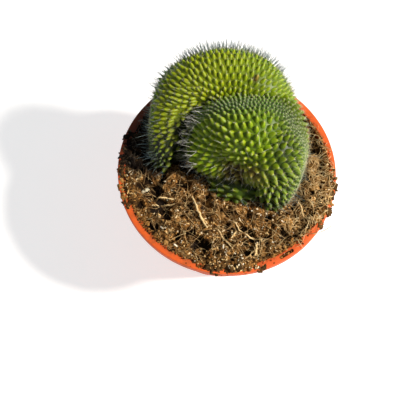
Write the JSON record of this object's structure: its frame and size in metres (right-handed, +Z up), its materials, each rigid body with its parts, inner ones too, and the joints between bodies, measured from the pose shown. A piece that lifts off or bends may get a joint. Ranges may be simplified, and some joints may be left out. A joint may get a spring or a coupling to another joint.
{
  "type": "potted crested mammillaria",
  "caption": "Fan-shaped crested cactus covered in small tubercles and fine spines, growing in rough fibrous soil in a round tapered hanging pot with a flat slotted rim",
  "frame": {"origin": "the middle of the pot's foot, on the surface the pot stands on, which is the bottom centre of the bounding box", "axes": "+Z is up and is the longest extent; the front of the plant, with the open hollow and most of the bare soil, faces -Y; +X is the viewer's right from the front"},
  "size_m": [0.17, 0.17, 0.1887],
  "materials": {
    "terracotta_plastic": "satin",
    "peat_and_coir": "matte",
    "cactus_flesh": "satin",
    "dry_straw": "matte"
  },
  "bodies": {
    "root": {"pot": "terracotta_plastic", "soil": "peat_and_coir", "crested_cactus": "cactus_flesh", "straw_1": "dry_straw", "straw_2": "dry_straw", "straw_3": "dry_straw", "straw_4": "dry_straw", "straw_5": "dry_straw", "straw_6": "dry_straw", "straw_7": "dry_straw", "straw_8": "dry_straw"}
  },
  "joints": []
}
